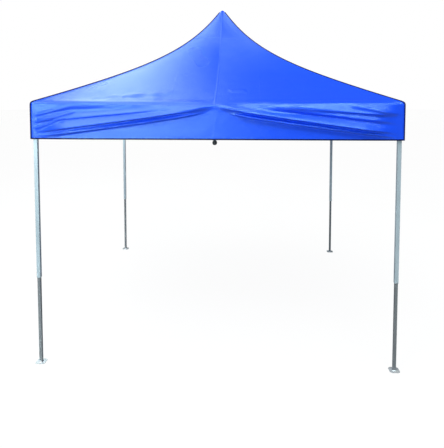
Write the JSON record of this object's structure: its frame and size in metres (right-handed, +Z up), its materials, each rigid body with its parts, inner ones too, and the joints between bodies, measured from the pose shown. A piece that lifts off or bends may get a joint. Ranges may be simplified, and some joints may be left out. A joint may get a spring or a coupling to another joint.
{
  "type": "pop up gazebo",
  "caption": "Square pop-up gazebo with a peaked cloth canopy on a folding scissor frame and telescopic legs with foot plates.",
  "frame": {"origin": "on the ground, under the middle of the frame", "axes": "+Z up, -Y towards the front side, +X to the right of it"},
  "size_m": [2.98, 2.98, 3.12],
  "materials": {
    "frame_paint": "silver grey powder coat, satin",
    "bracket_plastic": "moulded black nylon",
    "button_steel": "polished steel",
    "canopy_cloth": "coated polyester, soft sheen"
  },
  "bodies": {
    "hub_upper": {"hub_upper": "bracket_plastic", "canopy": "canopy_cloth"},
    "centre_rising_bar_front": {"centre_rising_bar_front": "frame_paint"},
    "centre_falling_bar_front": {"centre_falling_bar_front": "frame_paint"},
    "middle_lower_front": {"middle_lower_front": "bracket_plastic"},
    "middle_upper_front": {"middle_upper_front": "bracket_plastic"},
    "hub_lower": {"hub_lower": "bracket_plastic"},
    "front_outer_bar_left": {"front_outer_bar_left": "frame_paint"},
    "front_inner_bar_left": {"front_inner_bar_left": "frame_paint"},
    "leg_fl": {"outer_leg_fl": "frame_paint", "top_bracket_fl": "bracket_plastic"},
    "slider_fl": {"slider_fl": "bracket_plastic"},
    "front_outer_bar_right": {"front_outer_bar_right": "frame_paint"},
    "front_inner_bar_right": {"front_inner_bar_right": "frame_paint"},
    "leg_fr": {"outer_leg_fr": "frame_paint", "top_bracket_fr": "bracket_plastic"},
    "slider_fr": {"slider_fr": "bracket_plastic"},
    "centre_rising_bar_right": {"centre_rising_bar_right": "frame_paint"},
    "centre_falling_bar_right": {"centre_falling_bar_right": "frame_paint"},
    "middle_lower_right": {"middle_lower_right": "bracket_plastic"},
    "middle_upper_right": {"middle_upper_right": "bracket_plastic"},
    "right_outer_bar_left": {"right_outer_bar_left": "frame_paint"},
    "right_inner_bar_left": {"right_inner_bar_left": "frame_paint"},
    "right_outer_bar_right": {"right_outer_bar_right": "frame_paint"},
    "right_inner_bar_right": {"right_inner_bar_right": "frame_paint"},
    "centre_rising_bar_back": {"centre_rising_bar_back": "frame_paint"},
    "centre_falling_bar_back": {"centre_falling_bar_back": "frame_paint"},
    "middle_lower_back": {"middle_lower_back": "bracket_plastic"},
    "middle_upper_back": {"middle_upper_back": "bracket_plastic"},
    "back_outer_bar_left": {"back_outer_bar_left": "frame_paint"},
    "back_inner_bar_left": {"back_inner_bar_left": "frame_paint"},
    "leg_br": {"outer_leg_br": "frame_paint", "top_bracket_br": "bracket_plastic"},
    "slider_br": {"slider_br": "bracket_plastic"},
    "back_outer_bar_right": {"back_outer_bar_right": "frame_paint"},
    "back_inner_bar_right": {"back_inner_bar_right": "frame_paint"},
    "leg_bl": {"outer_leg_bl": "frame_paint", "top_bracket_bl": "bracket_plastic"},
    "slider_bl": {"slider_bl": "bracket_plastic"},
    "centre_rising_bar_left": {"centre_rising_bar_left": "frame_paint"},
    "centre_falling_bar_left": {"centre_falling_bar_left": "frame_paint"},
    "middle_lower_left": {"middle_lower_left": "bracket_plastic"},
    "middle_upper_left": {"middle_upper_left": "bracket_plastic"},
    "left_outer_bar_left": {"left_outer_bar_left": "frame_paint"},
    "left_inner_bar_left": {"left_inner_bar_left": "frame_paint"},
    "left_outer_bar_right": {"left_outer_bar_right": "frame_paint"},
    "left_inner_bar_right": {"left_inner_bar_right": "frame_paint"},
    "centre_pole": {"centre_pole": "frame_paint"},
    "inner_leg_fl": {"inner_leg_fl": "frame_paint"},
    "leg_button_fl": {"leg_button_fl": "button_steel"},
    "slider_button_fl": {"slider_button_fl": "button_steel"},
    "inner_leg_fr": {"inner_leg_fr": "frame_paint"},
    "leg_button_fr": {"leg_button_fr": "button_steel"},
    "slider_button_fr": {"slider_button_fr": "button_steel"},
    "inner_leg_br": {"inner_leg_br": "frame_paint"},
    "leg_button_br": {"leg_button_br": "button_steel"},
    "slider_button_br": {"slider_button_br": "button_steel"},
    "inner_leg_bl": {"inner_leg_bl": "frame_paint"},
    "leg_button_bl": {"leg_button_bl": "button_steel"},
    "slider_button_bl": {"slider_button_bl": "button_steel"}
  },
  "joints": [
    {"name": "frame_fold", "type": "hinge", "parent": "hub_upper", "child": "centre_rising_bar_front", "pos_m": [0.007, -0.055, 2.118], "axis": [1, 0, 0], "range_deg": [0, 78], "deforming": ["canopy"]},
    {"name": "centre_falling_bar_front_hinge", "type": "hinge", "parent": "centre_rising_bar_front", "child": "centre_falling_bar_front", "pos_m": [0, -0.73, 1.998], "axis": [-1, 0, 0], "range_deg": [0, 156]},
    {"name": "middle_lower_front_hinge", "type": "hinge", "parent": "centre_rising_bar_front", "child": "middle_lower_front", "pos_m": [0.007, -1.405, 1.878], "axis": [-1, 0, 0], "range_deg": [0, 78]},
    {"name": "middle_upper_front_hinge", "type": "hinge", "parent": "centre_falling_bar_front", "child": "middle_upper_front", "pos_m": [-0.007, -1.405, 2.118], "axis": [1, 0, 0], "range_deg": [0, 78]},
    {"name": "hub_lower_hinge", "type": "hinge", "parent": "centre_falling_bar_front", "child": "hub_lower", "pos_m": [-0.007, -0.055, 1.878], "axis": [1, 0, 0], "range_deg": [0, 78]},
    {"name": "front_outer_bar_left_hinge", "type": "hinge", "parent": "middle_upper_front", "child": "front_outer_bar_left", "pos_m": [-0.045, -1.457, 2.118], "axis": [0, -1, 0], "range_deg": [0, 78]},
    {"name": "front_inner_bar_left_hinge", "type": "hinge", "parent": "middle_lower_front", "child": "front_inner_bar_left", "pos_m": [-0.045, -1.443, 1.878], "axis": [0, 1, 0], "range_deg": [0, 78]},
    {"name": "leg_fl_hinge", "type": "hinge", "parent": "front_inner_bar_left", "child": "leg_fl", "pos_m": [-1.395, -1.443, 2.118], "axis": [0, -1, 0], "range_deg": [0, 78]},
    {"name": "slider_fl_hinge", "type": "hinge", "parent": "front_outer_bar_left", "child": "slider_fl", "pos_m": [-1.395, -1.457, 1.878], "axis": [0, 1, 0], "range_deg": [0, 78]},
    {"name": "front_outer_bar_right_hinge", "type": "hinge", "parent": "middle_upper_front", "child": "front_outer_bar_right", "pos_m": [0.045, -1.457, 2.118], "axis": [0, 1, 0], "range_deg": [0, 78]},
    {"name": "front_inner_bar_right_hinge", "type": "hinge", "parent": "middle_lower_front", "child": "front_inner_bar_right", "pos_m": [0.045, -1.443, 1.878], "axis": [0, -1, 0], "range_deg": [0, 78]},
    {"name": "leg_fr_hinge", "type": "hinge", "parent": "front_inner_bar_right", "child": "leg_fr", "pos_m": [1.395, -1.443, 2.118], "axis": [0, 1, 0], "range_deg": [0, 78]},
    {"name": "slider_fr_hinge", "type": "hinge", "parent": "front_outer_bar_right", "child": "slider_fr", "pos_m": [1.395, -1.457, 1.878], "axis": [0, -1, 0], "range_deg": [0, 78]},
    {"name": "centre_rising_bar_right_hinge", "type": "hinge", "parent": "hub_upper", "child": "centre_rising_bar_right", "pos_m": [0.055, 0.007, 2.118], "axis": [0, 1, 0], "range_deg": [0, 78]},
    {"name": "centre_falling_bar_right_hinge", "type": "hinge", "parent": "centre_rising_bar_right", "child": "centre_falling_bar_right", "pos_m": [0.73, 0, 1.998], "axis": [0, -1, 0], "range_deg": [0, 156]},
    {"name": "middle_lower_right_hinge", "type": "hinge", "parent": "centre_rising_bar_right", "child": "middle_lower_right", "pos_m": [1.405, 0.007, 1.878], "axis": [0, -1, 0], "range_deg": [0, 78]},
    {"name": "middle_upper_right_hinge", "type": "hinge", "parent": "centre_falling_bar_right", "child": "middle_upper_right", "pos_m": [1.405, -0.007, 2.118], "axis": [0, 1, 0], "range_deg": [0, 78]},
    {"name": "right_outer_bar_left_hinge", "type": "hinge", "parent": "middle_upper_right", "child": "right_outer_bar_left", "pos_m": [1.457, -0.045, 2.118], "axis": [1, 0, 0], "range_deg": [0, 78]},
    {"name": "right_inner_bar_left_hinge", "type": "hinge", "parent": "middle_lower_right", "child": "right_inner_bar_left", "pos_m": [1.443, -0.045, 1.878], "axis": [-1, 0, 0], "range_deg": [0, 78]},
    {"name": "right_outer_bar_right_hinge", "type": "hinge", "parent": "middle_upper_right", "child": "right_outer_bar_right", "pos_m": [1.457, 0.045, 2.118], "axis": [-1, 0, 0], "range_deg": [0, 78]},
    {"name": "right_inner_bar_right_hinge", "type": "hinge", "parent": "middle_lower_right", "child": "right_inner_bar_right", "pos_m": [1.443, 0.045, 1.878], "axis": [1, 0, 0], "range_deg": [0, 78]},
    {"name": "centre_rising_bar_back_hinge", "type": "hinge", "parent": "hub_upper", "child": "centre_rising_bar_back", "pos_m": [-0.007, 0.055, 2.118], "axis": [-1, 0, 0], "range_deg": [0, 78]},
    {"name": "centre_falling_bar_back_hinge", "type": "hinge", "parent": "centre_rising_bar_back", "child": "centre_falling_bar_back", "pos_m": [0, 0.73, 1.998], "axis": [1, 0, 0], "range_deg": [0, 156]},
    {"name": "middle_lower_back_hinge", "type": "hinge", "parent": "centre_rising_bar_back", "child": "middle_lower_back", "pos_m": [-0.007, 1.405, 1.878], "axis": [1, 0, 0], "range_deg": [0, 78]},
    {"name": "middle_upper_back_hinge", "type": "hinge", "parent": "centre_falling_bar_back", "child": "middle_upper_back", "pos_m": [0.007, 1.405, 2.118], "axis": [-1, 0, 0], "range_deg": [0, 78]},
    {"name": "back_outer_bar_left_hinge", "type": "hinge", "parent": "middle_upper_back", "child": "back_outer_bar_left", "pos_m": [0.045, 1.457, 2.118], "axis": [0, 1, 0], "range_deg": [0, 78]},
    {"name": "back_inner_bar_left_hinge", "type": "hinge", "parent": "middle_lower_back", "child": "back_inner_bar_left", "pos_m": [0.045, 1.443, 1.878], "axis": [0, -1, 0], "range_deg": [0, 78]},
    {"name": "leg_br_hinge", "type": "hinge", "parent": "back_inner_bar_left", "child": "leg_br", "pos_m": [1.395, 1.443, 2.118], "axis": [0, 1, 0], "range_deg": [0, 78]},
    {"name": "slider_br_hinge", "type": "hinge", "parent": "back_outer_bar_left", "child": "slider_br", "pos_m": [1.395, 1.457, 1.878], "axis": [0, -1, 0], "range_deg": [0, 78]},
    {"name": "back_outer_bar_right_hinge", "type": "hinge", "parent": "middle_upper_back", "child": "back_outer_bar_right", "pos_m": [-0.045, 1.457, 2.118], "axis": [0, -1, 0], "range_deg": [0, 78]},
    {"name": "back_inner_bar_right_hinge", "type": "hinge", "parent": "middle_lower_back", "child": "back_inner_bar_right", "pos_m": [-0.045, 1.443, 1.878], "axis": [0, 1, 0], "range_deg": [0, 78]},
    {"name": "leg_bl_hinge", "type": "hinge", "parent": "back_inner_bar_right", "child": "leg_bl", "pos_m": [-1.395, 1.443, 2.118], "axis": [0, -1, 0], "range_deg": [0, 78]},
    {"name": "slider_bl_hinge", "type": "hinge", "parent": "back_outer_bar_right", "child": "slider_bl", "pos_m": [-1.395, 1.457, 1.878], "axis": [0, 1, 0], "range_deg": [0, 78]},
    {"name": "centre_rising_bar_left_hinge", "type": "hinge", "parent": "hub_upper", "child": "centre_rising_bar_left", "pos_m": [-0.055, -0.007, 2.118], "axis": [0, -1, 0], "range_deg": [0, 78]},
    {"name": "centre_falling_bar_left_hinge", "type": "hinge", "parent": "centre_rising_bar_left", "child": "centre_falling_bar_left", "pos_m": [-0.73, 0, 1.998], "axis": [0, 1, 0], "range_deg": [0, 156]},
    {"name": "middle_lower_left_hinge", "type": "hinge", "parent": "centre_rising_bar_left", "child": "middle_lower_left", "pos_m": [-1.405, -0.007, 1.878], "axis": [0, 1, 0], "range_deg": [0, 78]},
    {"name": "middle_upper_left_hinge", "type": "hinge", "parent": "centre_falling_bar_left", "child": "middle_upper_left", "pos_m": [-1.405, 0.007, 2.118], "axis": [0, -1, 0], "range_deg": [0, 78]},
    {"name": "left_outer_bar_left_hinge", "type": "hinge", "parent": "middle_upper_left", "child": "left_outer_bar_left", "pos_m": [-1.457, 0.045, 2.118], "axis": [-1, 0, 0], "range_deg": [0, 78]},
    {"name": "left_inner_bar_left_hinge", "type": "hinge", "parent": "middle_lower_left", "child": "left_inner_bar_left", "pos_m": [-1.443, 0.045, 1.878], "axis": [1, 0, 0], "range_deg": [0, 78]},
    {"name": "left_outer_bar_right_hinge", "type": "hinge", "parent": "middle_upper_left", "child": "left_outer_bar_right", "pos_m": [-1.457, -0.045, 2.118], "axis": [1, 0, 0], "range_deg": [0, 78]},
    {"name": "left_inner_bar_right_hinge", "type": "hinge", "parent": "middle_lower_left", "child": "left_inner_bar_right", "pos_m": [-1.443, -0.045, 1.878], "axis": [-1, 0, 0], "range_deg": [0, 78]},
    {"name": "pole_slide", "type": "slide", "parent": "hub_upper", "child": "centre_pole", "axis": [0, 0, -1], "range_m": [0, 0.906]},
    {"name": "leg_length_fl", "type": "slide", "parent": "leg_fl", "child": "inner_leg_fl", "axis": [0, 0, 1], "range_m": [0, 0.7]},
    {"name": "leg_button_fl_press", "type": "slide", "parent": "leg_fl", "child": "leg_button_fl", "axis": [1, 0, 0], "range_m": [0, 0.0023], "stiffness_N_per_m": 400},
    {"name": "slider_button_fl_press", "type": "slide", "parent": "slider_fl", "child": "slider_button_fl", "axis": [1, 0, 0], "range_m": [0, 0.0023], "stiffness_N_per_m": 400},
    {"name": "leg_length_fr", "type": "slide", "parent": "leg_fr", "child": "inner_leg_fr", "axis": [0, 0, 1], "range_m": [0, 0.7]},
    {"name": "leg_button_fr_press", "type": "slide", "parent": "leg_fr", "child": "leg_button_fr", "axis": [0, 1, 0], "range_m": [0, 0.0023], "stiffness_N_per_m": 400},
    {"name": "slider_button_fr_press", "type": "slide", "parent": "slider_fr", "child": "slider_button_fr", "axis": [0, 1, 0], "range_m": [0, 0.0023], "stiffness_N_per_m": 400},
    {"name": "leg_length_br", "type": "slide", "parent": "leg_br", "child": "inner_leg_br", "axis": [0, 0, 1], "range_m": [0, 0.7]},
    {"name": "leg_button_br_press", "type": "slide", "parent": "leg_br", "child": "leg_button_br", "axis": [-1, 0, 0], "range_m": [0, 0.0023], "stiffness_N_per_m": 400},
    {"name": "slider_button_br_press", "type": "slide", "parent": "slider_br", "child": "slider_button_br", "axis": [-1, 0, 0], "range_m": [0, 0.0023], "stiffness_N_per_m": 400},
    {"name": "leg_length_bl", "type": "slide", "parent": "leg_bl", "child": "inner_leg_bl", "axis": [0, 0, 1], "range_m": [0, 0.7]},
    {"name": "leg_button_bl_press", "type": "slide", "parent": "leg_bl", "child": "leg_button_bl", "axis": [0, -1, 0], "range_m": [0, 0.0023], "stiffness_N_per_m": 400},
    {"name": "slider_button_bl_press", "type": "slide", "parent": "slider_bl", "child": "slider_button_bl", "axis": [0, -1, 0], "range_m": [0, 0.0023], "stiffness_N_per_m": 400}
  ],
  "couplings": [
    {"joint": "centre_falling_bar_front_hinge", "follows": "frame_fold", "ratio": 2},
    {"joint": "middle_lower_front_hinge", "follows": "frame_fold", "ratio": 1},
    {"joint": "middle_upper_front_hinge", "follows": "frame_fold", "ratio": 1},
    {"joint": "hub_lower_hinge", "follows": "frame_fold", "ratio": 1},
    {"joint": "front_outer_bar_left_hinge", "follows": "frame_fold", "ratio": 1},
    {"joint": "front_inner_bar_left_hinge", "follows": "frame_fold", "ratio": 1},
    {"joint": "leg_fl_hinge", "follows": "frame_fold", "ratio": 1},
    {"joint": "slider_fl_hinge", "follows": "frame_fold", "ratio": 1},
    {"joint": "front_outer_bar_right_hinge", "follows": "frame_fold", "ratio": 1},
    {"joint": "front_inner_bar_right_hinge", "follows": "frame_fold", "ratio": 1},
    {"joint": "leg_fr_hinge", "follows": "frame_fold", "ratio": 1},
    {"joint": "slider_fr_hinge", "follows": "frame_fold", "ratio": 1},
    {"joint": "centre_rising_bar_right_hinge", "follows": "frame_fold", "ratio": 1},
    {"joint": "centre_falling_bar_right_hinge", "follows": "frame_fold", "ratio": 2},
    {"joint": "middle_lower_right_hinge", "follows": "frame_fold", "ratio": 1},
    {"joint": "middle_upper_right_hinge", "follows": "frame_fold", "ratio": 1},
    {"joint": "right_outer_bar_left_hinge", "follows": "frame_fold", "ratio": 1},
    {"joint": "right_inner_bar_left_hinge", "follows": "frame_fold", "ratio": 1},
    {"joint": "right_outer_bar_right_hinge", "follows": "frame_fold", "ratio": 1},
    {"joint": "right_inner_bar_right_hinge", "follows": "frame_fold", "ratio": 1},
    {"joint": "centre_rising_bar_back_hinge", "follows": "frame_fold", "ratio": 1},
    {"joint": "centre_falling_bar_back_hinge", "follows": "frame_fold", "ratio": 2},
    {"joint": "middle_lower_back_hinge", "follows": "frame_fold", "ratio": 1},
    {"joint": "middle_upper_back_hinge", "follows": "frame_fold", "ratio": 1},
    {"joint": "back_outer_bar_left_hinge", "follows": "frame_fold", "ratio": 1},
    {"joint": "back_inner_bar_left_hinge", "follows": "frame_fold", "ratio": 1},
    {"joint": "leg_br_hinge", "follows": "frame_fold", "ratio": 1},
    {"joint": "slider_br_hinge", "follows": "frame_fold", "ratio": 1},
    {"joint": "back_outer_bar_right_hinge", "follows": "frame_fold", "ratio": 1},
    {"joint": "back_inner_bar_right_hinge", "follows": "frame_fold", "ratio": 1},
    {"joint": "leg_bl_hinge", "follows": "frame_fold", "ratio": 1},
    {"joint": "slider_bl_hinge", "follows": "frame_fold", "ratio": 1},
    {"joint": "centre_rising_bar_left_hinge", "follows": "frame_fold", "ratio": 1},
    {"joint": "centre_falling_bar_left_hinge", "follows": "frame_fold", "ratio": 2},
    {"joint": "middle_lower_left_hinge", "follows": "frame_fold", "ratio": 1},
    {"joint": "middle_upper_left_hinge", "follows": "frame_fold", "ratio": 1},
    {"joint": "left_outer_bar_left_hinge", "follows": "frame_fold", "ratio": 1},
    {"joint": "left_inner_bar_left_hinge", "follows": "frame_fold", "ratio": 1},
    {"joint": "left_outer_bar_right_hinge", "follows": "frame_fold", "ratio": 1},
    {"joint": "left_inner_bar_right_hinge", "follows": "frame_fold", "ratio": 1},
    {"joint": "pole_slide", "follows": "frame_fold", "m_per_rad": 0.66478}
  ]
}
